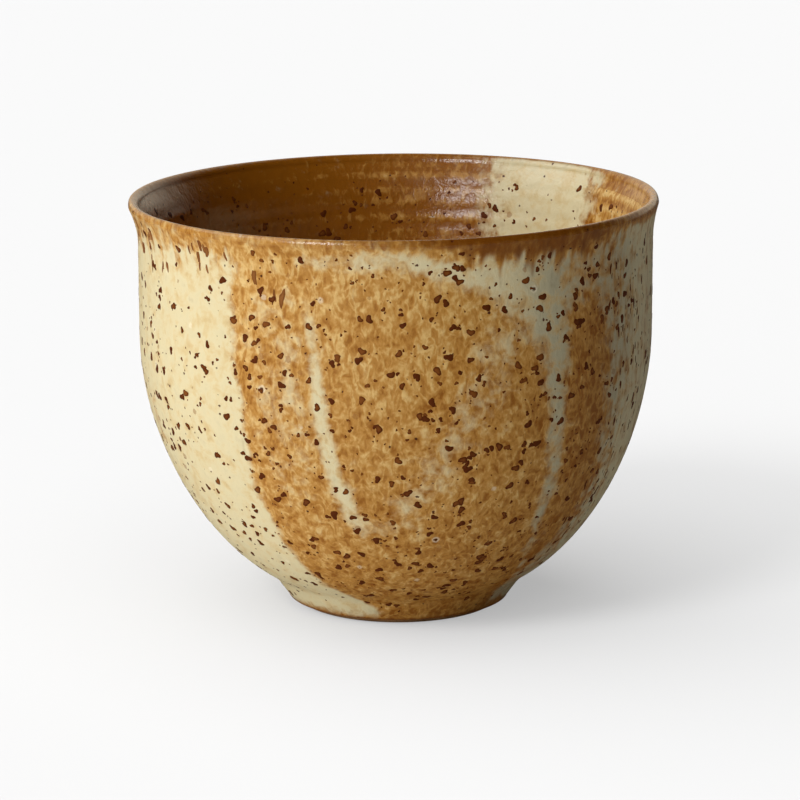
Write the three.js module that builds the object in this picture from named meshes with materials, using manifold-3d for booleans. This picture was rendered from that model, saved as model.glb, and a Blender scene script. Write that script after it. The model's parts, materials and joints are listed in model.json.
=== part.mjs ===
// A hand-thrown stoneware cappuccino cup without a handle, on a low turned foot.
// Millimetres, +Z up. The origin is the middle of the ring that the cup stands on,
// and the front of the cup faces -Y.
import * as THREE from 'three';
import { mergeVertices } from 'three/addons/utils/BufferGeometryUtils.js';
import Module from 'manifold-3d';

// Driving dimensions of the cup, measured over the glaze
const height = 75.75;
const lipDiameter = 96;
const lipOuterRound = 0.8;
const lipInnerRound = 1.8;
const lipCrown = 1.3;
const flareHeight = 8;
const bellyDiameter = 93.8;
const bellyHeight = 51.4;
const footDiameter = 46.9;
const footHeight = 5.6;
const glazeLineDiameter = 40.7;
const glazeLineHeight = 1.3;

// Driving dimensions of the bare clay and of the glaze on it
const standDiameter = 36.6;
const standWidth = 4.6;
const recessSlope = 1.4;
const wall = 4;
const wallTaperHeight = 26;
const floorThickness = 4.5;
const glaze = 0.45;
const pourGlaze = 0.6;
const lipBandOutside = 3.6;
const lipBandInside = 3;

// How the round of the bowl leaves the foot and the floor, and how it meets the upright wall
const springAngle = 28.5;
const springReach = 14.4;
const bellyReach = 19.8;
const floorReach = 24;
const innerBellyReach = 28;

// Poured glazes, each drawn as seen from the side that it faces.
// facing is the turn from the front towards the right in degrees. gap, the strip left under the
// lip band, and low, the level where the pour ends, are shares of the cup's height. The widths
// left and right of the middle line, at the crown, half way down and near the low end, are
// shares of the belly's radius.
const outerPours = [
  {
    name: 'amber_pour_front', facing: 0, gap: 0.045, low: -0.08,
    left: { crown: 0.53, middle: 0.61, end: 0.14 }, right: { crown: 0.43, middle: 0.58, end: 0.26 },
  },
  {
    name: 'amber_pour_right', facing: 52, gap: 0.105, low: 0.145,
    left: { crown: 0.065, middle: 0.095, end: 0.055 }, right: { crown: 0.07, middle: 0.085, end: 0.05 },
  },
  {
    name: 'amber_pour_back', facing: 164, gap: 0.04, low: -0.08,
    left: { crown: 0.47, middle: 0.51, end: 0.17 }, right: { crown: 0.49, middle: 0.55, end: 0.19 },
  },
  {
    name: 'amber_pour_rear_left', facing: 232, gap: 0.065, low: 0.12,
    left: { crown: 0.17, middle: 0.22, end: 0.13 }, right: { crown: 0.19, middle: 0.2, end: 0.11 },
  },
];
const innerPour = {
  name: 'cream_pour_inside', facing: 146, gap: 0.016, low: 0,
  left: { crown: 0.15, middle: 0.17, end: 0.12 }, right: { crown: 0.16, middle: 0.18, end: 0.13 },
};

// The pour inside starts this far from the axis. pourShoulder and pourTail are the shares of a
// pour's height where the widths at the crown and near the low end lie.
const innerPourReach = 12;
const pourShoulder = 0.88;
const pourTail = 0.12;

// Facets: segments round the axis, and steps along each stretch of the profile
const turns = 48;
const bowlSteps = 9;
const flareSteps = 2;
const lipSteps = 3;
const taperSteps = 4;
const pourSteps = 32;

const lerp = THREE.MathUtils.lerp;
const radians = THREE.MathUtils.degToRad;
const point = (radius, z) => new THREE.Vector2(radius, z);

// Heights and radii of the bare clay that follow from the driving dimensions
const lipMiddle = height - lipCrown;
const lipTopRadius = lipDiameter / 2 - lipOuterRound;
const lipOuterRadius = lipDiameter / 2 - glaze;
const lipInnerRadius = lipTopRadius - lipInnerRound + glaze;
const bellyRadius = bellyDiameter / 2 - glaze;
const creaseRadius = footDiameter / 2 - glaze;
const glazeLineRadius = glazeLineDiameter / 2 - glaze;
const floorTop = footHeight + floorThickness;
const flareStart = height - flareHeight;
const taperStart = height - wallTaperHeight;

// Round stretch of the outside, from the crease above the foot to the upright wall.
function bowlOutside() {
  const spring = radians(springAngle);
  const start = point(creaseRadius, footHeight);
  const lift = point(Math.cos(spring), Math.sin(spring)).multiplyScalar(springReach);
  const round = new THREE.CubicBezierCurve(
    start,
    start.clone().add(lift),
    point(bellyRadius, bellyHeight - bellyReach),
    point(bellyRadius, bellyHeight),
  );
  return round.getPoints(bowlSteps);
}

// Radius of the upper wall at a height: upright on the outside, then leaning out to the lip.
function outsideRadius(z) {
  const share = Math.max(0, (z - flareStart) / (lipMiddle - flareStart));
  return lerp(bellyRadius, lipOuterRadius, share * share);
}

// On the inside it follows the outside, thinner and thinner towards the lip.
function insideRadius(z) {
  const share = (z - taperStart) / (lipMiddle - taperStart);
  return outsideRadius(z) - lerp(wall, lipOuterRadius - lipInnerRadius, share * share);
}

// Points of the upper wall between two heights, both included.
function upperWall(radiusAt, from, to, steps) {
  const points = [];
  for (let i = 0; i <= steps; i++) {
    const z = lerp(from, to, i / steps);
    points.push(point(radiusAt(z), z));
  }
  return points;
}

// A quarter of the lip's rounding: tight on the outside, wide towards the inside.
function lipQuarter(reach, from) {
  const rise = lipCrown - glaze;
  const arc = new THREE.EllipseCurve(lipTopRadius, lipMiddle, reach, rise, from, from + Math.PI / 2);
  return arc.getPoints(lipSteps);
}

// Round stretch of the inside, from the tapered wall down to the middle of the floor.
function bowlInside() {
  const wallRadius = insideRadius(taperStart);
  const round = new THREE.CubicBezierCurve(
    point(wallRadius, taperStart),
    point(wallRadius, taperStart - innerBellyReach),
    point(floorReach, floorTop),
    point(0, floorTop),
  );
  return round.getPoints(bowlSteps);
}

// Joins stretches that share their end points into one run of points.
function joinRuns(...runs) {
  const [first, ...rest] = runs;
  return rest.reduce((points, run) => points.concat(run.slice(1)), first);
}

// The clay surface in the three stretches that the glazes cover: outside, lip and inside.
// The outside starts at the line on the foot where the glaze was wiped off.
const bandEdgeOutside = height - lipBandOutside;
const bandEdgeInside = height - lipBandInside;
const outside = joinRuns(
  [point(glazeLineRadius, glazeLineHeight), point(creaseRadius, footHeight)],
  bowlOutside(),
  [point(bellyRadius, bellyHeight), point(bellyRadius, flareStart)],
  upperWall(outsideRadius, flareStart, bandEdgeOutside, flareSteps),
);
const lip = joinRuns(
  upperWall(outsideRadius, bandEdgeOutside, lipMiddle, 1),
  lipQuarter(lipOuterRadius - lipTopRadius, 0),
  lipQuarter(lipTopRadius - lipInnerRadius, Math.PI / 2),
  upperWall(insideRadius, lipMiddle, bandEdgeInside, 1),
);
const inside = joinRuns(
  upperWall(insideRadius, bandEdgeInside, taperStart, taperSteps),
  bowlInside(),
);
const claySurface = joinRuns(outside, lip, inside);

// Direction straight out of the clay at a point of its surface. At the glaze line it is level,
// so that the coat ends flat, and in the middle of the floor it is upright.
function outOfClay(spot) {
  const at = claySurface.findIndex((other) => other.equals(spot));
  if (at === 0) return point(1, 0);
  if (at === claySurface.length - 1) return point(0, 1);
  const along = claySurface[at + 1].clone().sub(claySurface[at - 1]).normalize();
  return point(along.y, -along.x);
}

// Turns a profile of radius and height about the upright axis, starting at the front.
function turned(points) {
  return new THREE.LatheGeometry(points, turns).rotateX(Math.PI / 2);
}

// A coat of glaze of even thickness on one stretch of the clay, closed all round.
function coat(stretch, thickness) {
  const skin = stretch.map((spot) => outOfClay(spot).multiplyScalar(thickness).add(spot));
  return turned([...skin, ...stretch.toReversed(), skin[0]]);
}

// The thrown wall and floor, flat underneath where the foot joins on.
function stonewareBowl() {
  const aboveFoot = claySurface.slice(1);
  return turned([point(0, footHeight), ...aboveFoot]);
}

// Ring turned under the bowl: a bevelled edge, a tapered side and a recess that leans inwards.
function footRing() {
  const standRadius = standDiameter / 2;
  const recessRadius = standRadius - standWidth;
  return turned([
    point(recessRadius, 0),
    point(standRadius, 0),
    point(glazeLineRadius, glazeLineHeight),
    point(creaseRadius, footHeight),
    point(recessRadius - recessSlope, footHeight),
    point(recessRadius, 0),
  ]);
}

// Block as wide as a pour, running out from near the axis on the side that the pour faces.
function pourBlock(pour, bandEdge, reach) {
  const low = pour.low * height;
  const crown = bandEdge - pour.gap * height;
  const shoulder = lerp(low, crown, pourShoulder);
  const middle = lerp(low, crown, 0.5);
  const tail = lerp(low, crown, pourTail);
  const across = (share) => (share * bellyDiameter) / 2;
  const corners = [
    point(0, low),
    point(across(pour.right.end), tail),
    point(across(pour.right.middle), middle),
    point(across(pour.right.crown), shoulder),
    point(0, crown),
    point(-across(pour.left.crown), shoulder),
    point(-across(pour.left.middle), middle),
    point(-across(pour.left.end), tail),
  ];
  const flat = corners.map((corner) => new THREE.Vector3(corner.x, corner.y, 0));
  const outline = new THREE.CatmullRomCurve3(flat, true).getPoints(pourSteps).slice(0, -1);
  const shape = new THREE.Shape(outline.map((spot) => point(spot.x, spot.y)));
  const block = new THREE.ExtrudeGeometry(shape, { depth: lipDiameter, bevelEnabled: false });
  block.translate(0, 0, reach);
  return block.rotateX(Math.PI / 2).rotateZ(radians(pour.facing));
}

const wasm = await Module();
wasm.setup();

// Closed three.js geometry to a solid that can be joined and cut, and back again.
function toSolid(geometry) {
  const bare = geometry.clone();
  bare.deleteAttribute('normal');
  bare.deleteAttribute('uv');
  const merged = mergeVertices(bare);
  const corners = merged.index.array;
  const triangles = [];
  for (let i = 0; i < corners.length; i += 3) {
    const [a, b, c] = corners.slice(i, i + 3);
    if (a !== b && b !== c && c !== a) triangles.push(a, b, c);
  }
  return new wasm.Manifold(new wasm.Mesh({
    numProp: 3,
    vertProperties: Float32Array.from(merged.attributes.position.array),
    triVerts: Uint32Array.from(triangles),
  }));
}

function toGeometry(solid) {
  const mesh = solid.getMesh();
  const geometry = new THREE.BufferGeometry();
  geometry.setAttribute('position', new THREE.BufferAttribute(mesh.vertProperties, 3));
  geometry.setIndex(new THREE.BufferAttribute(mesh.triVerts, 1));
  geometry.computeVertexNormals();
  return geometry;
}

const clayFinish = { color: 0x9c7a52, roughness: 0.85, metalness: 0 };
const creamFinish = { color: 0xe0cfa0, roughness: 0.42, metalness: 0 };
const amberFinish = { color: 0xb5843f, roughness: 0.38, metalness: 0 };
const lipFinish = { color: 0x8a5220, roughness: 0.35, metalness: 0 };

const cup = new THREE.Group();

function addPiece(name, geometry, finish) {
  const mesh = new THREE.Mesh(geometry, new THREE.MeshStandardMaterial(finish));
  mesh.name = name;
  cup.add(mesh);
}

// Clay: the thrown bowl and the foot turned under it
addPiece('stoneware_bowl', stonewareBowl(), clayFinish);
addPiece('foot_ring', footRing(), clayFinish);

// Outside: amber pours, each set in a window of the cream coat
let creamCoat = toSolid(coat(outside, glaze));
let freeGlaze = toSolid(coat(outside, pourGlaze));
for (const pour of outerPours) {
  const block = toSolid(pourBlock(pour, bandEdgeOutside, 0));
  addPiece(pour.name, toGeometry(freeGlaze.intersect(block)), amberFinish);
  freeGlaze = freeGlaze.subtract(block);
  creamCoat = creamCoat.subtract(block);
}
addPiece('cream_glaze_coat', toGeometry(creamCoat), creamFinish);

// Lip: a thin band of glaze over the edge, browned by the iron in the clay
addPiece('lip_glaze', coat(lip, glaze), lipFinish);

// Inside: the amber liner with one run of cream down the wall
const liner = toSolid(coat(inside, glaze));
const innerBlock = toSolid(pourBlock(innerPour, bandEdgeInside, innerPourReach));
addPiece('amber_glaze_liner', toGeometry(liner.subtract(innerBlock)), amberFinish);
addPiece(innerPour.name, toGeometry(liner.intersect(innerBlock)), creamFinish);

export default cup;
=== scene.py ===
import json
import math
import random

import bpy
import numpy as np
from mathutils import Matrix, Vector

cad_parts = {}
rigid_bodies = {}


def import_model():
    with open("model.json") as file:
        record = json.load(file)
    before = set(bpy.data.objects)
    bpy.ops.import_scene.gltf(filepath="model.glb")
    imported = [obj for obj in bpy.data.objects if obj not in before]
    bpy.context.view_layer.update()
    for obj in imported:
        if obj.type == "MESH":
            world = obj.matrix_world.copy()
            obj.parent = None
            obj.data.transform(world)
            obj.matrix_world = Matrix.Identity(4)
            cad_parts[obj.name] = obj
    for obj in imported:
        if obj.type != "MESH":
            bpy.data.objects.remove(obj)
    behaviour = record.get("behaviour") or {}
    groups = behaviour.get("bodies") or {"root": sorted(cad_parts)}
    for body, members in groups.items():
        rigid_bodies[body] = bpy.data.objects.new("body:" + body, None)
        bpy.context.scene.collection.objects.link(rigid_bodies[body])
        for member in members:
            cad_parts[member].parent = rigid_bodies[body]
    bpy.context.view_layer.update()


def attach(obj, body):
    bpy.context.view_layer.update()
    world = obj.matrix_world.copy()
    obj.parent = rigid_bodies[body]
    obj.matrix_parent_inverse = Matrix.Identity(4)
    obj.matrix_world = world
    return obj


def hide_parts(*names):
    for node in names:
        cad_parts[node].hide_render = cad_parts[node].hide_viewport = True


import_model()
scene = bpy.context.scene

# Bowl
# The wall and floor of the cup, thrown on the wheel from one lump of iron-bearing stoneware.
# Glaze covers it all over, except for the round patch under the floor inside the foot.
height = 75.75
lip_radius, lip_middle = 48.0, 74.45
lip_top_radius, lip_inner_radius = 47.3, 46.1
belly_radius, belly_height = 46.9, 51.4
flare_start, taper_start = 67.75, 49.75
wall_below, wall_at_lip = 4.9, 1.9
floor_top, foot_height = 10.55, 5.6
crease = np.array([23.45, foot_height])
glaze_line = np.array([20.45, 1.45])
spring = math.radians(28.5)
glaze_depth = 0.45
seam_height = 72.6


def bend(corners, steps):
    """Points of the Bezier curve on these corners."""
    share = np.linspace(0, 1, steps + 1)[:, None]
    rows = [np.asarray(corner, float) + 0 * share for corner in corners]
    while len(rows) > 1:
        rows = [(1 - share) * a + share * b for a, b in zip(rows, rows[1:])]
    return rows[0]


def lengths(line):
    """How far along a line each of its points lies."""
    return np.r_[0, np.cumsum(np.hypot(*np.diff(line, axis=0).T))]


def spaced(line, step):
    """The same line with its points one step apart."""
    along = lengths(line)
    at = np.linspace(0, along[-1], max(2, round(along[-1] / step) + 1))
    return np.c_[np.interp(at, along, line[:, 0]), np.interp(at, along, line[:, 1])]


def out_of(line):
    """Directions square to a line, on the side that faces out of the clay."""
    along = np.gradient(line, axis=0)
    out = np.c_[along[:, 1], -along[:, 0]]
    return out / np.hypot(*out.T)[:, None]


def outside_radius(z):
    flare = np.clip((z - flare_start) / (lip_middle - flare_start), 0, 1) ** 2
    return belly_radius + (lip_radius - belly_radius) * flare


def inside_radius(z):
    share = (z - taper_start) / (lip_middle - taper_start)
    return outside_radius(z) - wall_below - (wall_at_lip - wall_below) * share ** 2


# Outline over the glaze, from the glaze line on the foot up the outside and over the lip
rising = np.array([math.cos(spring), math.sin(spring)])
round_out = bend([crease, crease + 14.4 * rising, (belly_radius, 31.6), (belly_radius, belly_height)], 300)
round_out = round_out[lengths(round_out) > 2.4]
foot_side = glaze_line + (crease - glaze_line) * np.linspace(0, 0.66, 20)[:, None]
fillet = bend([foot_side[-1], crease, round_out[0]], 20)
edge_roll = bend([(19.95, 1.32), (20.1, 1.0), (20.4, 1.1), glaze_line], 6)
upright = np.linspace(belly_height, lip_middle, 200)
wall_out = np.c_[outside_radius(upright), upright]
quarter = np.linspace(0, math.pi / 2, 14)
lip_rise = height - lip_middle
lip_round = np.r_[np.c_[lip_top_radius + (lip_radius - lip_top_radius) * np.cos(quarter),
                        lip_middle + lip_rise * np.sin(quarter)],
                  np.c_[lip_top_radius - (lip_top_radius - lip_inner_radius) * np.sin(quarter),
                        lip_middle + lip_rise * np.cos(quarter)]]
below_lip = np.linspace(lip_middle, seam_height, 20)
wall_in = np.c_[inside_radius(below_lip), below_lip]
skin_out = np.r_[edge_roll[:-1], spaced(foot_side, 0.45)[:-1], spaced(fillet, 0.35)[:-1],
                 spaced(round_out, 0.62)[:-1], spaced(wall_out, 0.6)[:-1], spaced(lip_round, 0.16)[:-1],
                 spaced(wall_in, 0.5)]

# Outline of the inside, with the rings that the potter's fingers left, down to the middle of the floor
inner_wall = np.linspace(seam_height, taper_start, 200)
inner_radius = inside_radius(taper_start)
inner_round = bend([(inner_radius, taper_start), (inner_radius, 21.75), (23.7, floor_top),
                    (0, floor_top)], 300)
skin_in = np.r_[spaced(np.c_[inside_radius(inner_wall), inner_wall], 0.42)[:-1], spaced(inner_round, 0.6)]
inward = lengths(skin_in)
fine_ring, broad_ring = 0.03, 0.025
rings = (fine_ring * np.sin(inward * 2 * math.pi / 2.7)
         + broad_ring * np.sin(inward * 2 * math.pi / 4.3 + 1.0))
fading = np.clip(inward / 3, 0, 1) * np.clip((inward[-1] - inward) / 6, 0, 1)
skin_in = skin_in + out_of(skin_in) * (rings * fading)[:, None]


def add(tree, kind, inputs=None, **settings):
    """A node with its settings, and each input set to a value or linked to a socket."""
    node = tree.nodes.new(kind)
    for name, setting in settings.items():
        setattr(node, name, setting)
    for name, source in (inputs or {}).items():
        if isinstance(source, bpy.types.NodeSocket):
            tree.links.new(source, node.inputs[name])
        else:
            node.inputs[name].default_value = source
    return node


# The wheel: turns a closed section of radius and height about the upright axis
turns_round, wheel_reach, sharp_edge = 420, 1.0, math.radians(50)
wheel = bpy.data.node_groups.new("Turned on the wheel", "GeometryNodeTree")
wheel.interface.new_socket("Section", in_out="INPUT", socket_type="NodeSocketGeometry")
wheel_turns = wheel.interface.new_socket("Turns", in_out="INPUT", socket_type="NodeSocketInt")
wheel_radius = wheel.interface.new_socket("Wheel radius", in_out="INPUT", socket_type="NodeSocketFloat")
wheel_finish = wheel.interface.new_socket("Material", in_out="INPUT", socket_type="NodeSocketMaterial")
wheel.interface.new_socket("Piece", in_out="OUTPUT", socket_type="NodeSocketGeometry")
given = add(wheel, "NodeGroupInput").outputs
section = add(wheel, "GeometryNodeMeshToCurve", {"Mesh": given["Section"]})
circle = add(wheel, "GeometryNodeCurvePrimitiveCircle",
             {"Resolution": given["Turns"], "Radius": given["Wheel radius"]})
swept = add(wheel, "GeometryNodeCurveToMesh",
            {"Curve": circle.outputs["Curve"], "Profile Curve": section.outputs["Curve"]})
closed = add(wheel, "GeometryNodeMergeByDistance", {"Geometry": swept.outputs["Mesh"], "Distance": 1e-6})
outward = add(wheel, "GeometryNodeFlipFaces", {"Mesh": closed.outputs["Geometry"]})
smooth = add(wheel, "GeometryNodeSetShadeSmooth", {"Geometry": outward.outputs["Mesh"]})
real = add(wheel, "GeometryNodeRealizeInstances", {"Geometry": smooth.outputs["Geometry"]})
coated = add(wheel, "GeometryNodeSetMaterial",
             {"Geometry": real.outputs["Geometry"], "Material": given["Material"]})
add(wheel, "NodeGroupOutput", {"Piece": coated.outputs["Geometry"]})


def settled(obj):
    """Turns what an object's nodes make into its plain mesh."""
    depsgraph = bpy.context.evaluated_depsgraph_get()
    mesh = bpy.data.meshes.new_from_object(obj.evaluated_get(depsgraph), preserve_all_data_layers=True,
                                           depsgraph=depsgraph)
    obj.modifiers.clear()
    obj.data = mesh
    mesh.name = obj.name
    return mesh


def turn(name, line, material):
    """A piece turned from a closed line of radius, height and length along the glaze, in millimetres."""
    mesh = bpy.data.meshes.new(name)
    count = len(line)
    corners = [(r / 1000 - wheel_reach, -z / 1000, 0) for r, z in line[:, :2]]
    mesh.from_pydata(corners, [(i, (i + 1) % count) for i in range(count)], [])
    mesh.attributes.new("along", "FLOAT", "POINT").data.foreach_set("value", line[:, 2])
    obj = bpy.data.objects.new(name, mesh)
    scene.collection.objects.link(obj)
    nodes = obj.modifiers.new("Wheel", "NODES")
    nodes.node_group = wheel
    nodes[wheel_turns.identifier] = turns_round
    nodes[wheel_radius.identifier] = wheel_reach
    nodes[wheel_finish.identifier] = material
    settled(obj).set_sharp_from_angle(angle=sharp_edge)
    return obj


def by_hand(co):
    """How the thrown cup leaves the true round: a lip that dips and flares to the left, and a lean."""
    x, y, z = (co * 1000).T
    radius = np.maximum(np.hypot(x, y), 1e-3)
    angle = np.arctan2(x, -y)
    lift = np.clip(z / height, 0, 1.02)
    flare = np.clip((z - 67) / 8, 0, 1.1) ** 2
    oval = 0.1 * np.cos(2 * angle + 0.7) + 0.06 * np.cos(3 * angle - 1)
    grow = flare * (0.25 - 0.4 * x / radius) + lift * oval
    grow *= np.clip(radius / 12, 0, 1) / radius
    lean = 0.46 * np.clip((z - 5) / 35, 0, 1)
    dip = 0.0094 * x * lift ** 2
    return np.c_[x * (1 + grow) - lean, y * (1 + grow), z + dip] / 1000


def points_of(mesh):
    co = np.empty(len(mesh.vertices) * 3, np.float32)
    mesh.vertices.foreach_get("co", co)
    return co.reshape(-1, 3).astype(float)


def shape_by_hand(obj):
    obj.data.vertices.foreach_set("co", by_hand(points_of(obj.data)).astype(np.float32).ravel())
    obj.data.update()


clay = bpy.data.materials.new("bare stoneware")
clay.use_nodes = True
tree = clay.node_tree
tree.nodes.clear()
place = add(tree, "ShaderNodeTexCoord").outputs["Object"]
firing = add(tree, "ShaderNodeTexNoise", {"Vector": place, "Scale": 160.0, "Detail": 5.0, "Roughness": 0.6})
grit = add(tree, "ShaderNodeTexNoise", {"Vector": place, "Scale": 1900.0, "Detail": 3.0, "Roughness": 0.6})
body = add(tree, "ShaderNodeValToRGB", {"Fac": firing.outputs["Fac"]})
body.color_ramp.elements[0].position, body.color_ramp.elements[0].color = 0.3, (0.26, 0.105, 0.028, 1)
body.color_ramp.elements[1].position, body.color_ramp.elements[1].color = 0.7, (0.46, 0.23, 0.07, 1)
grains = add(tree, "ShaderNodeMapRange",
             {"Value": grit.outputs["Fac"], "From Min": 0.3, "From Max": 0.5, "To Min": 0.55})
dusty = add(tree, "ShaderNodeMix",
            {"Factor": 1.0, "A": body.outputs["Color"], "B": grains.outputs["Result"]},
            data_type="RGBA", blend_type="MULTIPLY")
bumps = add(tree, "ShaderNodeBump", {"Height": grit.outputs["Fac"], "Strength": 0.5, "Distance": 0.00012})
shader = add(tree, "ShaderNodeBsdfPrincipled", {"Roughness": 0.85, "Normal": bumps.outputs["Normal"]})
tree.links.new(dusty.outputs["Result"], shader.inputs["Base Color"])
add(tree, "ShaderNodeOutputMaterial", {"Surface": shader.outputs["BSDF"]})

clay_out = skin_out - out_of(skin_out) * glaze_depth
clay_in = skin_in - out_of(skin_in) * glaze_depth
clay_in[-1, 0] = 0
under = np.linspace(0, 22.6, 90)
tool_marks = 0.06 * np.sin(under * 2 * math.pi / 1.5) * np.clip(under / 2, 0, 1)
under = np.c_[under, foot_height + tool_marks]
clay_out = clay_out[clay_out[:, 1] > foot_height + 0.3]
bowl_line = np.r_[under, clay_out[::3], clay_in[::4][:-1], clay_in[-1:]]
bowl = turn("thrown_bowl", np.c_[bowl_line, np.zeros(len(bowl_line))], clay)
shape_by_hand(bowl)
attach(bowl, "root")
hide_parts("stoneware_bowl")

# Foot ring
# A low ring of the same clay, turned under the bowl when leather-hard. Its side is glazed with the cup,
# and its bevelled edge, standing face and recess were wiped clean before firing.
stand_radius, recess_radius, recess_top = 18.3, 13.7, 12.3
bevel_top, side_top = np.array([19.9, 1.3]), np.array([23.0, foot_height])
side = np.linspace(0, 1, 16)[:, None] * (side_top - bevel_top) + bevel_top
bevel = bend([(stand_radius - 0.5, 0), (stand_radius + 0.15, 0), bevel_top], 12)
stand = np.linspace(recess_radius + 0.5, stand_radius - 0.5, 14)
recess = bend([(recess_top, foot_height), (recess_radius - 0.3, 1.0), (recess_radius, 0.0),
               (recess_radius + 0.5, 0)], 20)
recess += np.c_[0.05 * np.sin(recess[:, 1] * 2 * math.pi / 0.9), 0 * recess[:, 1]]
foot_line = np.r_[bevel[:-1], side, recess, np.c_[stand, 0 * stand][1:-1]]
foot = turn("foot_ring_turned", np.c_[foot_line, np.zeros(len(foot_line))], clay)
shape_by_hand(foot)
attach(foot, "root")
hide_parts("foot_ring")

# Outside glaze
# Cream glaze poured over amber while the cup was turned in the hand. The two melted into one skin that runs
# from the wiped line on the foot over the lip, brown and thin on the edge where it broke over the clay.
cream, cool_cream, stained_cream = (0.74, 0.63, 0.37, 1), (0.48, 0.43, 0.27, 1), (0.66, 0.47, 0.2, 1)
tan, amber, deep_amber = (0.76, 0.5, 0.18, 1), (0.52, 0.248, 0.047, 1), (0.29, 0.095, 0.005, 1)
edge_brown, iron, faded_iron = (0.19, 0.055, 0.003, 1), (0.075, 0.014, 0.0015, 1), (0.3, 0.11, 0.02, 1)
# The last colour is a painted highlight: the glint on the rims of the pinholes.
painted_pit_glint = (0.9, 0.8, 0.6, 1)


def fields(name, inputs, outputs):
    """An empty node group with number or colour sockets."""
    group = bpy.data.node_groups.new(name, "ShaderNodeTree")
    for title, kind in inputs.items():
        group.interface.new_socket(title, in_out="INPUT", socket_type="NodeSocket" + kind)
    for title, kind in outputs.items():
        group.interface.new_socket(title, in_out="OUTPUT", socket_type="NodeSocket" + kind)
    return group, add(group, "NodeGroupInput").outputs


def value(tree, operation, *numbers):
    return add(tree, "ShaderNodeMath", dict(enumerate(numbers)), operation=operation).outputs[0]


def ramp(tree, number, low, high, to_low=0.0, to_high=1.0):
    limits = {"Value": number, "From Min": low, "From Max": high, "To Min": to_low, "To Max": to_high}
    return add(tree, "ShaderNodeMapRange", limits, interpolation_type="SMOOTHSTEP").outputs["Result"]


def mixed(tree, share, a, b):
    return add(tree, "ShaderNodeMix", {"Factor": share, "A": a, "B": b}, data_type="RGBA").outputs["Result"]


def noise(tree, place, scale, detail, distortion=0.0):
    grain = {"Vector": place, "Scale": scale, "Detail": detail, "Roughness": 0.58, "Distortion": distortion}
    return add(tree, "ShaderNodeTexNoise", grain).outputs["Fac"]


def stretched(tree, place, stretch):
    return add(tree, "ShaderNodeVectorMath", {0: place, 1: stretch}, operation="MULTIPLY").outputs[0]


# Melt: the marks that glaze leaves as it melts, soft clouds, short felted strokes, long runs and grain
melt, given = fields("Glaze melt", {"Vector": "Vector"},
                     {"Cloud": "Float", "Felt": "Float", "Run": "Float", "Grain": "Float"})
place = given["Vector"]
drawn = stretched(melt, place, (1.0, 1.0, 0.18))
brushed = stretched(melt, place, (1.0, 1.0, 0.6))
strokes = value(melt, "ABSOLUTE", value(melt, "SUBTRACT", noise(melt, brushed, 520.0, 2.0, 0.6), 0.5))
strokes = ramp(melt, strokes, 0.0, 0.14, 1.0, 0.0)
felt = value(melt, "MULTIPLY", noise(melt, brushed, 1000.0, 4.0, 0.4), 0.8)
felt = value(melt, "MULTIPLY_ADD", strokes, 0.22, felt)
add(melt, "NodeGroupOutput", {"Cloud": noise(melt, place, 400.0, 5.0, 0.3), "Felt": felt,
                              "Run": noise(melt, drawn, 700.0, 3.0),
                              "Grain": noise(melt, place, 2400.0, 2.0)})

# Pin dots: small irregular spots, some sharp and some faded under the glaze
dots, given = fields("Pin dots", {"Vector": "Vector", "Scale": "Float", "Size": "Float", "Share": "Float"},
                     {"Mask": "Float", "Ring": "Float"})
shake = add(dots, "ShaderNodeTexNoise", {"Vector": given["Vector"], "Scale": 2600.0, "Detail": 1.0})
shift = stretched(dots, shake.outputs["Color"], (0.00045, 0.00045, 0.00045))
shaken = add(dots, "ShaderNodeVectorMath", {0: given["Vector"], 1: shift}, operation="ADD")
cells = add(dots, "ShaderNodeTexVoronoi", {"Vector": shaken.outputs[0], "Scale": given["Scale"]})
chance = add(dots, "ShaderNodeSeparateColor", {"Color": cells.outputs["Color"]})
reach = value(dots, "MULTIPLY", given["Size"], value(dots, "ADD", 0.5, chance.outputs["Green"]))
inside = value(dots, "SUBTRACT", reach, cells.outputs["Distance"])
picked = value(dots, "LESS_THAN", chance.outputs["Red"], given["Share"])
filled = value(dots, "MULTIPLY", ramp(dots, inside, 0.0, 0.05), picked)
# Ring: a band just outside each dot, used below to paint a highlight round the pits.
widened = value(dots, "MULTIPLY", ramp(dots, inside, -0.12, -0.03), picked)
add(dots, "NodeGroupOutput", {"Mask": filled, "Ring": value(dots, "SUBTRACT", widened, filled)})

# Glaze: colour, roughness and relief from how pale, deep, cool and streaky it is and how much edge brown it
# takes near the lip; the skins' layers also use deep, cool and the edge brown to paint shade and light
layer_names = ("Pale", "Deep", "Lip", "Cool", "Streaky")
glaze, given = fields("Poured glaze", {"Vector": "Vector", **dict.fromkeys(layer_names, "Float")},
                      {"Color": "Color", "Roughness": "Float", "Relief": "Float"})


def dotted(place, scale, size, share):
    inputs = {"Vector": place, "Scale": scale, "Size": size, "Share": share}
    return add(glaze, "ShaderNodeGroup", inputs, node_tree=dots).outputs


place = given["Vector"]
marks = add(glaze, "ShaderNodeGroup", {"Vector": place}, node_tree=melt).outputs
cloud = value(glaze, "SUBTRACT", marks["Cloud"], 0.5)
run = value(glaze, "SUBTRACT", marks["Run"], 0.5)
lifted = value(glaze, "MULTIPLY_ADD", cloud, 1.3, given["Pale"])
lifted = value(glaze, "MULTIPLY_ADD", value(glaze, "MULTIPLY", run, given["Streaky"]), 1.5, lifted)
mottle = value(glaze, "MULTIPLY_ADD", marks["Felt"], 0.55, value(glaze, "MULTIPLY", marks["Cloud"], 0.45))
mottle = value(glaze, "MULTIPLY_ADD", given["Deep"], -0.22, mottle)
warm_colour = mixed(glaze, ramp(glaze, mottle, 0.17, 0.43), deep_amber, amber)
warm_colour = mixed(glaze, ramp(glaze, mottle, 0.37, 0.6), warm_colour, tan)
coolness = value(glaze, "MULTIPLY_ADD", cloud, 0.8, given["Cool"])
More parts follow.
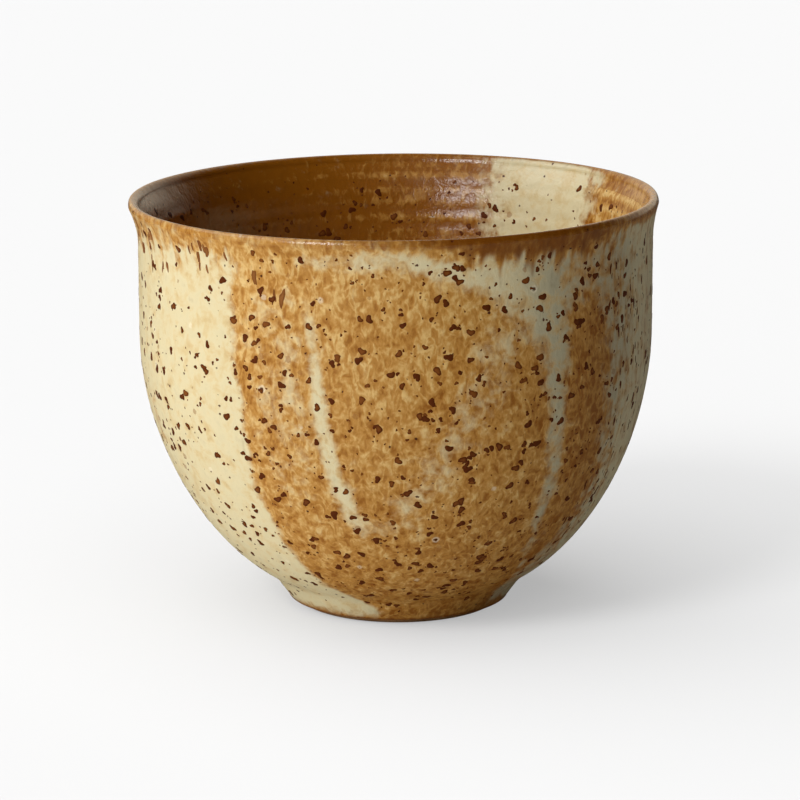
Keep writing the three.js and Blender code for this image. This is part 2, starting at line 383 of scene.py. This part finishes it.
pale_colour = mixed(glaze, ramp(glaze, coolness, 0.0, 1.0), cream, cool_cream)
stain = ramp(glaze, value(glaze, "MULTIPLY_ADD", cloud, -1.0, 0.06), 0.0, 0.24, 0.0, 0.6)
pale_colour = mixed(glaze, stain, pale_colour, stained_cream)
colour = mixed(glaze, ramp(glaze, lifted, 0.15, 0.85), warm_colour, pale_colour)
# The lip layer mixes in edge brown: real brown on the lip, painted shade on the inside left and at the
# foot's glaze line.
browning = value(glaze, "MULTIPLY_ADD", cloud, 0.9, given["Lip"])
browning = value(glaze, "MULTIPLY_ADD", run, 0.9, browning)
colour = mixed(glaze, ramp(glaze, browning, 0.1, 1.0), colour, edge_brown)
faded = dotted(place, 420.0, 0.2, 0.14)
crisp = dotted(place, 640.0, 0.13, 0.2)
pits = dotted(place, 300.0, 0.1, ramp(glaze, given["Deep"], 0.6, 1.0, 0.09, 0.0))
colour = mixed(glaze, value(glaze, "MULTIPLY", faded["Mask"], 0.5), colour, faded_iron)
# Painted highlight: a pale ring round each pit stands for the glint on its rim.
colour = mixed(glaze, value(glaze, "MULTIPLY", pits["Ring"], 0.4), colour, painted_pit_glint)
dark = value(glaze, "MAXIMUM", crisp["Mask"], pits["Mask"])
colour = mixed(glaze, value(glaze, "MULTIPLY", dark, 0.95), colour, iron)
rough = ramp(glaze, marks["Cloud"], 0.3, 0.7, 0.3, 0.42)
relief = value(glaze, "MULTIPLY_ADD", marks["Felt"], 0.5, marks["Cloud"])
relief = value(glaze, "MULTIPLY_ADD", marks["Grain"], 0.1, relief)
relief = value(glaze, "MULTIPLY_ADD", crisp["Mask"], -0.3, relief)
relief = value(glaze, "MULTIPLY_ADD", pits["Mask"], -1.6, relief)
add(glaze, "NodeGroupOutput", {"Color": colour, "Roughness": rough, "Relief": relief})


def glazed(name):
    """A fired glaze that reads the poured layers from the mesh's own attributes."""
    material = bpy.data.materials.new(name)
    material.use_nodes = True
    tree = material.node_tree
    tree.nodes.clear()
    poured = {"Vector": add(tree, "ShaderNodeTexCoord").outputs["Object"]}
    for layer in layer_names:
        poured[layer] = add(tree, "ShaderNodeAttribute", attribute_name=layer.lower()).outputs["Fac"]
    layers = add(tree, "ShaderNodeGroup", poured, node_tree=glaze).outputs
    gloss = add(tree, "ShaderNodeAttribute", attribute_name="gloss").outputs["Fac"]
    bumps = add(tree, "ShaderNodeBump", {"Height": layers["Relief"], "Strength": 0.45, "Distance": 0.0003})
    rough = value(tree, "MULTIPLY", layers["Roughness"], ramp(tree, gloss, 0.3, 0.8, 1.0, 0.55))
    shader = add(tree, "ShaderNodeBsdfPrincipled", {"Base Color": layers["Color"], "Roughness": rough,
                                                    "Normal": bumps.outputs["Normal"],
                                                    "Specular IOR Level": gloss})
    add(tree, "ShaderNodeOutputMaterial", {"Surface": shader.outputs["BSDF"]})
    return material


def soft(number, low, high):
    """Nought below low, one above high, with an eased slope between."""
    share = np.clip((number - low) / (high - low), 0, 1)
    return share * share * (3 - 2 * share)


def round_cup(turned, table):
    """A value that changes round the cup, from pairs of turn and value."""
    turns, values = np.array(table, float).T
    return np.interp(turned, turns, values)


def past(wall, edge):
    """Millimetres to the right of an edge given as height along the wall and turn in degrees."""
    radius, turned, up = wall
    ups, turns = np.array(edge).T
    away = (turned - np.interp(up, ups, turns) + 180) % 360 - 180
    return np.radians(away) * radius


def between(wall, left, right, left_soft, right_soft):
    """How far each point lies inside a run of glaze between two edges that wander a little."""
    radius, turned, up = wall
    shaken = turned + 0.6 * np.sin(up / 4.1 + turned / 23) + 0.5 * np.sin(up / 1.9 + turned / 31 + 2)
    wandering = radius, shaken, up
    inside_left = soft(past(wandering, left), -left_soft, left_soft)
    return inside_left * soft(-past(wandering, right), -right_soft, right_soft)


def streak(wall, stops):
    """A soft run of glaze along stops of turn, height along the wall, half width and strength."""
    radius, turned, up = wall
    stops = np.array(stops, float)
    best = np.zeros(len(up))
    for at in np.linspace(0, len(stops) - 1, 12 * len(stops)):
        t, u, width, strength = (np.interp(at, np.arange(len(stops)), column) for column in stops.T)
        away = np.hypot(np.radians((turned - t + 180) % 360 - 180) * radius, up - u)
        best = np.maximum(best, strength * np.exp(-(away / width) ** 2))
    return best


def store(mesh, **layers):
    for name, numbers in layers.items():
        mesh.attributes.new(name, "FLOAT", "POINT").data.foreach_set("value", numbers.astype(np.float32))


def shell(line):
    """A closed section of a glaze skin: its face and, with along at -1, the side that lies on the clay."""
    back_step = 6
    back = line - out_of(line) * glaze_depth
    keep = np.r_[np.arange(0, len(line) - 1, back_step), len(line) - 1][::-1]
    return np.r_[np.c_[line, lengths(line)], np.c_[back[keep], -np.ones(len(keep))]]


def laid_out(obj):
    """Each point's radius, turn in degrees from the front, and height along the wall."""
    x, y, _ = points_of(obj.data).T
    up = np.empty(len(x), np.float32)
    obj.data.attributes["along"].data.foreach_get("value", up)
    return np.hypot(x, y) * 1000, np.degrees(np.arctan2(x, -y)), up.astype(float)


def painted_inside_shade(turned):
    """Painted shade round the inside: the liner is made deeper on the left, where the wall faces away from
    the light, and paler on the right, where it faces the light.
    """
    return round_cup(turned % 360, [(0, 0), (30, -0.5), (60, -0.7), (120, -0.7), (128, 0), (180, 0),
                                    (215, 0.75), (325, 0.75), (360, 0)])


outer = turn("outside_glaze", shell(skin_out), glazed("outside glaze"))
wall = laid_out(outer)
radius, turned, up = wall
below = lengths(skin_out)[np.argmax(skin_out[:, 1] >= lip_middle)] - up

# Edges of the amber pours, as height along the wall and turn in degrees
front_left = [(0, -8), (4, -12), (7, -19), (13.5, -26.4), (19, -31.2), (25, -33), (35, -34.5),
              (54, -35.3), (72, -36.8), (84, -37.5)]
front_right = [(0, 50), (7, 46), (15, 42.5), (23, 40), (36, 36.6), (51, 35.8), (58.6, 34), (63, 31.3),
               (66, 28.8), (72.5, 24), (76, 20), (84, 12)]
right_left = [(30, 42), (49, 40.6), (67, 40.6), (80, 40)]
right_right = [(30, 55), (48, 53), (67, 50.5), (80, 48)]
back_left = [(0, 152), (20, 140), (50, 134), (84, 137)]
back_right = [(0, 178), (20, 190), (50, 194), (84, 192)]
rear_left = [(12, -124), (40, -142), (84, -139)]
rear_right = [(12, -122), (40, -114), (84, -117)]
warm = between(wall, front_left, front_right, 1.8, 1.6 + 3.4 * soft(up, 50, 68))
right_pour = between(wall, right_left, right_right, 2.4, 3.6) * soft(up, 8, 34) * soft(74 - up, 0, 8)
rear_pour = between(wall, rear_left, rear_right, 2, 2) * soft(up, 12, 20) * soft(76 - up, 0, 4)
for pour in (right_pour, between(wall, back_left, back_right, 2, 2), rear_pour):
    warm = np.maximum(warm, pour)

# Cream that ran over the front pour, and a thin patch in the cream on the left, each as stops of turn,
# height along the wall, half width and strength
white_run = [(-19, 72, 1.8, 0.3), (-18, 67.9, 1.6, 0.52), (-16.5, 55.6, 1.6, 0.78),
             (-14.8, 44.6, 1.9, 0.85), (-11, 33.2, 2.3, 0.72), (-8, 30, 2.6, 0.42)]
slanting_haze = [(-8.5, 32, 4, 0.36), (-1, 32, 5, 0.32), (7, 41, 6, 0.36), (13, 48, 6, 0.36),
                 (19, 56, 6, 0.36), (22, 64, 6, 0.42)]
under_lip = [(-20, 80, 1.8, 0.4), (0, 80.2, 2.2, 0.75), (12, 78.2, 2.2, 0.75), (20, 76, 3, 0.8),
             (27, 74, 5, 0.9)]
left_haze = [(-27, 72, 7, 0.3), (-24, 58, 8, 0.36), (-25, 44, 7, 0.28), (-23, 32, 6, 0.06)]
thin_patch = [(-73, 49, 3.5, 0.35), (-72, 42, 3, 0.3)]
cream_depth = round_cup(turned, [(-180, 1), (20, 0.92), (36, 0.78), (43, 0.42), (56, 0.52), (66, 0.7),
                                 (80, 0.78), (110, 0.84), (150, 0.95), (180, 1)])
pale = cream_depth * (1 - warm)
for stops in (white_run, slanting_haze, under_lip, left_haze):
    pale = np.maximum(pale, streak(wall, stops))
pale -= streak(wall, thin_patch)

# Amber that shows through under the lip, in a band of uneven width
band = round_cup(turned, [(-180, 5), (-120, 6), (-60, 7), (-40, 5), (-20, 1.2), (-8, 0.3), (8, 0.6),
                          (16, 3.4), (30, 5), (45, 4.4), (52, 2.2), (60, 1), (110, 3), (180, 5)])
fringe = np.sin(turned * 0.9) + np.sin(turned * 1.73 + 1) + np.sin(turned * 3.1 + 2)
near_lip = soft(1.3 - below / (band * (1 + 0.24 * fringe)), 0, 1.1)
pale *= 1 - (0.95 - 0.2 * soft(-turned, 20, 50)) * near_lip
pale *= (1 - 0.6 * soft(4 - up, 0, 4)) * soft(below + 1.6, 0, 1.6)
inner_cream = soft(turned, 116, 132) * soft(167 - turned, 0, 20)
pale = np.maximum(pale, inner_cream * soft(-below, 1.4, 3))

# Brown where the glaze broke over the lip, held back on the lit right end of the lip as painted light, and
# a dark band at the wiped line on the foot as painted shade under the glaze's edge
# Less brown round the right end of the lip, turns 56 to 130, is painted light on the crest that faces the
# light there.
crown = round_cup(turned, [(-180, 0.5), (-60, 0.34), (-20, 0.32), (0, 0.6), (14, 0.95), (40, 0.9),
                           (56, 0.5), (70, 0.3), (130, 0.4), (180, 0.5)])
brown_and_shade_share = crown * soft(-below, -1.6, 1) * soft(below + 3.6, 0, 1.8)
brown_and_shade_share = np.maximum(brown_and_shade_share, 0.75 * near_lip * soft(turned, 8, 18) * soft(56 - turned, 0, 10))
# Painted shade: the dark band along the wiped line on the foot stands for the shadow under the glaze's
# edge.
brown_and_shade_share = np.maximum(brown_and_shade_share, 0.9 * soft(1.5 - up, 0, 1.2))

# Deeper amber: thicker low down and just under the lip, darker towards the right, and deeper inside the
# lip, where it also carries the painted shade round the inside, darker on the left and paler on the right
deep_share = 0.5 + 0.3 * soft(40 - up, 0, 36) - 0.15 * soft(up, 55, 78)
deep_share += (0.25 * soft(turned, 0, 50) + 0.2 * soft(turned, 40, 46)) * soft(170 - turned, 0, 60)
# Inside the lip, the outer skin takes the same painted shade as the liner.
deep_share = np.maximum(deep_share, (1.3 + painted_inside_shade(turned)) * soft(-below, 1, 2.4))
deep_share = np.maximum(deep_share, near_lip * (0.48 + 0.47 * soft(turned, 6, 16)))

# Where the iron came through: spots nearly all over, drips under the lip on the left, dashes on the right
drawn_out = soft(turned, 46, 60) * soft(150 - turned, 0, 30)
on_left = soft(-turned, 36, 40)
spots_share = soft(up, 2.2, 4) * soft(below, 0.5, 2) * (1 - 0.3 * on_left) * (1 - 0.6 * drawn_out)
spots_share *= 1 - 0.7 * on_left * soft(9 - below, 0, 5)
drip_height = soft(below, 1.5, 3) * soft(12 - below, 0, 5)
drips_share = drip_height * soft(-turned, 14, 40) * soft(turned + 150, 0, 30)
store(outer.data, pale=np.clip(pale, 0, 1), lip=brown_and_shade_share, deep=deep_share,
      gloss=0.3 + 0.5 * soft(-below, -0.4, 0.8),
      cool=0.1 + 0.6 * soft(turned, 20, 36) * soft(75 - turned, 0, 25),
      streaky=np.maximum(drawn_out, 0.45 * soft(10 - below, 0, 8)),
      spots=spots_share, drips=drips_share, dashes=soft(below, 1, 2.5) * drawn_out * soft(up, 8, 30))
shape_by_hand(outer)
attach(outer, "root")
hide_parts("cream_glaze_coat", "amber_pour_front", "amber_pour_right", "amber_pour_back",
            "amber_pour_rear_left", "lip_glaze")

# Inside glaze
# The amber liner, swilled round the inside and poured out, with one run of cream down the back wall.
# It lies over the finger rings of the throwing, paler on each ring and deeper between them.
cream_left = [(0, 124), (12, 126), (30, 130), (60, 138)]
cream_right = [(0, 157), (12, 156), (30, 153), (60, 148)]
liner = turn("inside_glaze", shell(skin_in), glazed("inside glaze"))
wall = laid_out(liner)
radius, turned, up = wall
pale = between(wall, cream_left, cream_right, 6, 8) * soft(62 - up, 0, 14) * soft(up, -2, 0)
# Painted shade: edge brown laid over the inside of the left wall, which faces away from the light.
inside_left_shade = round_cup(turned % 360, [(120, 0), (180, 0.1), (205, 0.45), (222, 0.5), (240, 0)])
ring_share = np.interp(up, inward, rings) / (fine_ring + broad_ring)
everywhere = np.ones(len(up))
# In the liner's layers, deep carries the painted shade round the inside, and cool set below nought paints
# the inside cream a little lighter, as painted light.
store(liner.data, pale=np.clip(pale, 0, 1), lip=inside_left_shade * soft(up, 2, 8),
      deep=1.3 - 0.5 * ring_share + painted_inside_shade(turned), gloss=0.65 * everywhere, cool=-0.1 * everywhere,
      streaky=0.3 * everywhere, spots=soft(up, 0, 3))
shape_by_hand(liner)
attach(liner, "root")
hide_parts("amber_glaze_liner", "cream_pour_inside")

# Iron spots
# Grains of iron in the clay that melted through the glaze in the firing: dark red-brown flakes that stand a
# little proud of the skin, drawn out into drips under the lip where the glaze ran.
flake_shapes, flake_corners = 9, 13
flake_root, flake_top, flake_middle, flake_shoulder = -0.06, 0.055, 0.05, 0.76
random.seed(7)
flakes = bpy.data.collections.new("iron flakes")
for _ in range(flake_shapes):
    first, second = random.uniform(0, 6.3), random.uniform(0, 6.3)
    rim = []
    for corner in range(flake_corners):
        a = corner * 2 * math.pi / flake_corners
        bulge = 0.24 * math.cos(2 * a - first) + 0.17 * math.cos(3 * a - second)
        rim.append((a, 1 + bulge + random.uniform(-0.09, 0.09)))
    corners = [(r * math.cos(a), r * math.sin(a), flake_root) for a, r in rim]
    corners += [(flake_shoulder * r * math.cos(a), flake_shoulder * r * math.sin(a), flake_top)
                for a, r in rim]
    corners.append((0, 0, flake_middle))
    faces = []
    for i in range(flake_corners):
        j = (i + 1) % flake_corners
        faces.append((i, j, flake_corners + j, flake_corners + i))
        faces.append((flake_corners + i, flake_corners + j, 2 * flake_corners))
    mesh = bpy.data.meshes.new("iron flake")
    mesh.from_pydata(corners, [], faces)
    hearts = [0.0] * flake_corners + [0.15] * flake_corners + [1.0]
    mesh.attributes.new("heart", "FLOAT", "POINT").data.foreach_set("value", hearts)
    flakes.objects.link(bpy.data.objects.new("iron flake", mesh))

# The scatter: flakes strewn over a skin, more of them where one of its attributes is high
scatter = bpy.data.node_groups.new("Iron spots", "GeometryNodeTree")
sockets = {}
for title, kind in (("Surface", "Geometry"), ("Where", "String"), ("Density", "Float"),
                    ("Smallest", "Float"), ("Largest", "Float"), ("Stretch", "Float"), ("Spin", "Float"),
                    ("Seed", "Int"), ("Flakes", "Collection"), ("Material", "Material")):
    socket = scatter.interface.new_socket(title, in_out="INPUT", socket_type="NodeSocket" + kind)
    sockets[title] = socket.identifier
scatter.interface.new_socket("Spots", in_out="OUTPUT", socket_type="NodeSocketGeometry")
given = add(scatter, "NodeGroupInput").outputs
wanted = add(scatter, "GeometryNodeInputNamedAttribute", {"Name": given["Where"]}, data_type="FLOAT")
crowd = add(scatter, "ShaderNodeTexNoise", {"Scale": 210.0, "Detail": 2.0})
crowding = ramp(scatter, crowd.outputs["Fac"], 0.36, 0.66, 0.2, 2.0)
density = value(scatter, "MULTIPLY", given["Density"], wanted.outputs["Attribute"])
density = value(scatter, "MULTIPLY", density, crowding)
scattered = add(scatter, "GeometryNodeDistributePointsOnFaces",
                {"Mesh": given["Surface"], "Density": density, "Seed": given["Seed"]})
standing = add(scatter, "FunctionNodeAlignRotationToVector",
               {"Rotation": scattered.outputs["Rotation"], "Vector": (0, 0, 1)}, axis="Y", pivot_axis="Z")
any_turn = add(scatter, "FunctionNodeRandomValue", {"Min": -math.pi, "Max": math.pi, "Seed": 3},
               data_type="FLOAT")
spin = value(scatter, "MULTIPLY", any_turn.outputs[1], given["Spin"])
spin = add(scatter, "ShaderNodeCombineXYZ", {"Z": spin})
spin = add(scatter, "FunctionNodeEulerToRotation", {"Euler": spin.outputs["Vector"]})
spun = add(scatter, "FunctionNodeRotateRotation",
           {"Rotation": standing.outputs["Rotation"], "Rotate By": spin.outputs["Rotation"]},
           rotation_space="LOCAL")
chance = add(scatter, "FunctionNodeRandomValue", {"Seed": 5}, data_type="FLOAT").outputs[1]
size = ramp(scatter, value(scatter, "POWER", chance, 2.2), 0.0, 1.0, given["Smallest"], given["Largest"])
tall = value(scatter, "MULTIPLY", size, given["Stretch"])
scale = add(scatter, "ShaderNodeCombineXYZ", {"X": size, "Y": tall, "Z": size})
shapes = add(scatter, "GeometryNodeCollectionInfo",
             {"Collection": given["Flakes"], "Separate Children": True, "Reset Children": True})
placed = add(scatter, "GeometryNodeInstanceOnPoints",
             {"Points": scattered.outputs["Points"], "Instance": shapes.outputs["Instances"],
              "Pick Instance": True, "Rotation": spun.outputs["Rotation"],
              "Scale": scale.outputs["Vector"]})
tones = add(scatter, "FunctionNodeRandomValue", {"Seed": 11}, data_type="FLOAT").outputs[1]
toned = add(scatter, "GeometryNodeStoreNamedAttribute",
            {"Geometry": placed.outputs["Instances"], "Name": "tone", "Value": tones},
            data_type="FLOAT", domain="INSTANCE")
real = add(scatter, "GeometryNodeRealizeInstances", {"Geometry": toned.outputs["Geometry"]})
smooth = add(scatter, "GeometryNodeSetShadeSmooth", {"Geometry": real.outputs["Geometry"]})
coated = add(scatter, "GeometryNodeSetMaterial",
             {"Geometry": smooth.outputs["Geometry"], "Material": given["Material"]})
add(scatter, "NodeGroupOutput", {"Spots": coated.outputs["Geometry"]})


def rusted(name, dark, light):
    """Iron melted into glaze: dark at the rim of a spot, lighter in its heart, and no two spots alike."""
    material = bpy.data.materials.new(name)
    material.use_nodes = True
    tree = material.node_tree
    tree.nodes.clear()
    tone = add(tree, "ShaderNodeAttribute", attribute_name="tone").outputs["Fac"]
    heart = add(tree, "ShaderNodeAttribute", attribute_name="heart").outputs["Fac"]
    mottle = noise(tree, add(tree, "ShaderNodeTexCoord").outputs["Object"], 1500.0, 3.0)
    paler = value(tree, "MULTIPLY", ramp(tree, heart, 0.15, 0.75), ramp(tree, tone, 0.2, 0.9))
    paler = value(tree, "MULTIPLY_ADD", value(tree, "SUBTRACT", mottle, 0.5), 0.7, paler)
    paler = value(tree, "MULTIPLY_ADD", ramp(tree, tone, 0.7, 1.0), 0.4, paler)
    shader = add(tree, "ShaderNodeBsdfPrincipled", {"Base Color": mixed(tree, paler, dark, light),
                                                    "Roughness": 0.45, "Specular IOR Level": 0.06})
    add(tree, "ShaderNodeOutputMaterial", {"Surface": shader.outputs["BSDF"]})
    return material


thick_rust = rusted("iron spot", (0.1, 0.021, 0.003, 1), (0.2, 0.06, 0.01, 1))
thin_rust = rusted("iron drip", (0.19, 0.063, 0.014, 1), (0.28, 0.11, 0.028, 1))
strewn = []
for name, skin, where, rust, crowded, smallest, largest, stretch, twist, seed in (
        ("outside_iron_spots", outer, "spots", thick_rust, 170000.0, 0.00018, 0.0008, 1.0, 1.0, 4),
        ("lip_iron_drips", outer, "drips", thin_rust, 70000.0, 0.00036, 0.00072, 2.9, 0.06, 12),
        ("side_iron_dashes", outer, "dashes", thick_rust, 110000.0, 0.00014, 0.0004, 2.6, 0.05, 31),
        ("inside_iron_spots", liner, "spots", thick_rust, 110000.0, 0.00019, 0.0008, 1.0, 1.0, 21)):
    spots = bpy.data.objects.new(name, skin.data)
    scene.collection.objects.link(spots)
    nodes = spots.modifiers.new("Spots", "NODES")
    nodes.node_group = scatter
    for title, setting in (("Where", where), ("Density", crowded), ("Smallest", smallest),
                           ("Largest", largest), ("Stretch", stretch), ("Spin", twist), ("Seed", seed),
                           ("Flakes", flakes), ("Material", rust)):
        nodes[sockets[title]] = setting
    settled(spots)
    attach(spots, "root")
    strewn.append(spots)
for flake in list(flakes.objects):
    bpy.data.objects.remove(flake)
bpy.data.collections.remove(flakes)

# Studio
# A plain white table under soft light, with a window and a softbox to the left of the cup and the room's
# light round it. The table glows a little by itself, so that it stays near white beside the cup.
cup = bpy.data.collections.new("cup")
for piece in (bowl, foot, outer, liner, *strewn):
    cup.objects.link(piece)


def grey(level):
    return level, level, level, 1


table = bpy.data.materials.new("white table")
table.use_nodes = True
tree = table.node_tree
tree.nodes.clear()
rays = add(tree, "ShaderNodeLightPath").outputs
bounce = value(tree, "MAXIMUM", rays["Is Diffuse Ray"], rays["Is Glossy Ray"])
place = add(tree, "ShaderNodeTexCoord").outputs["Object"]
across = add(tree, "ShaderNodeSeparateXYZ", {"Vector": place}).outputs["X"]
# Painted shade: for light bounced onto the cup the table is paler on the left and darker on the right,
# standing in for the shade on the right of the table.
thrown_back = mixed(tree, ramp(tree, across, -0.06, 0.08), grey(0.3), grey(0.11))
white = mixed(tree, rays["Is Diffuse Ray"], grey(0.15), thrown_back)
white = mixed(tree, rays["Is Glossy Ray"], white, grey(0.02))
paper = add(tree, "ShaderNodeBsdfDiffuse", {"Color": white})
own_glow = ramp(tree, bounce, 0.0, 1.0, 0.43, 0.0)
lit = add(tree, "ShaderNodeEmission", {"Color": grey(1.0), "Strength": own_glow})
both = add(tree, "ShaderNodeAddShader", {0: paper.outputs["BSDF"], 1: lit.outputs["Emission"]})
add(tree, "ShaderNodeOutputMaterial", {"Surface": both.outputs["Shader"]})
plane = bpy.data.meshes.new("table")
table_half = 4
corners = [(x * table_half, y * table_half, 0) for x, y in ((-1, -1), (1, -1), (1, 1), (-1, 1))]
plane.from_pydata(corners, [], [(0, 1, 2, 3)])
plane.materials.append(table)
floor = bpy.data.objects.new("table", plane)
scene.collection.objects.link(floor)
ground = bpy.data.collections.new("ground")
ground.objects.link(floor)


def hang(light, toward, lit_things):
    """A lamp that shines one way, on some of the things only."""
    obj = bpy.data.objects.new(light.name, light)
    obj.rotation_euler = Vector(toward).to_track_quat("-Z", "Y").to_euler()
    obj.light_linking.receiver_collection = lit_things
    scene.collection.objects.link(obj)
    return obj


for name, toward, energy, spread, lit_things in (
        ("window", (0.72, -0.03, -0.69), 0.72, 50, cup),
        ("table lamp", (0.507, 0.604, -0.616), 3.6, 20, ground),
        ("table sky", (0.58, 0.24, -0.78), 9.8, 126, ground)):
    sun = bpy.data.lights.new(name, "SUN")
    sun.energy, sun.angle = energy, math.radians(spread)
    hang(sun, toward, lit_things)
softbox_at, softbox_aim = Vector((-0.65, -0.92, 0.48)), Vector((0, 0, 0.05))
softbox = bpy.data.lights.new("softbox", "AREA")
softbox.energy, softbox.size = 3.2, 0.3
hang(softbox, softbox_aim - softbox_at, cup).location = softbox_at

# The room: brightest at the upper left, and in the glaze's own reflections mostly the warm wall behind
room = bpy.data.worlds.new("room")
room.use_nodes = True
tree = room.node_tree
tree.nodes.clear()
direction = add(tree, "ShaderNodeTexCoord").outputs["Generated"]
mirrored = add(tree, "ShaderNodeLightPath").outputs["Is Glossy Ray"]
facing = add(tree, "ShaderNodeVectorMath", {0: direction, 1: (-0.76, -0.4, 0.51)}, operation="DOT_PRODUCT")
glow = value(tree, "POWER", value(tree, "MAXIMUM", facing.outputs["Value"], 0.0), 3.6)
glow = value(tree, "MULTIPLY", glow, 1.82)
behind = add(tree, "ShaderNodeSeparateXYZ", {"Vector": direction}).outputs["Y"]
shown = value(tree, "MULTIPLY_ADD", ramp(tree, behind, 0.3, 0.9), 0.9, value(tree, "MULTIPLY", glow, 0.12))
strength = add(tree, "ShaderNodeMix", {"Factor": mirrored, "A": glow, "B": shown}).outputs["Result"]
tint = mixed(tree, mirrored, grey(1.0), (1, 0.86, 0.66, 1))
background = add(tree, "ShaderNodeBackground", {"Color": tint, "Strength": strength})
add(tree, "ShaderNodeOutputWorld", {"Surface": background.outputs["Background"]})
scene.world = room

lens = bpy.data.cameras.new("camera")
lens.sensor_width, lens.lens = 36.0, 162.9
camera = bpy.data.objects.new("camera", lens)
camera.location = (0.0003, -0.65, 0.1849)
looking_down = 12.79
camera.rotation_euler = (math.radians(90 - looking_down), 0, 0)
scene.collection.objects.link(camera)
scene.camera = camera
scene.view_settings.view_transform = "Standard"
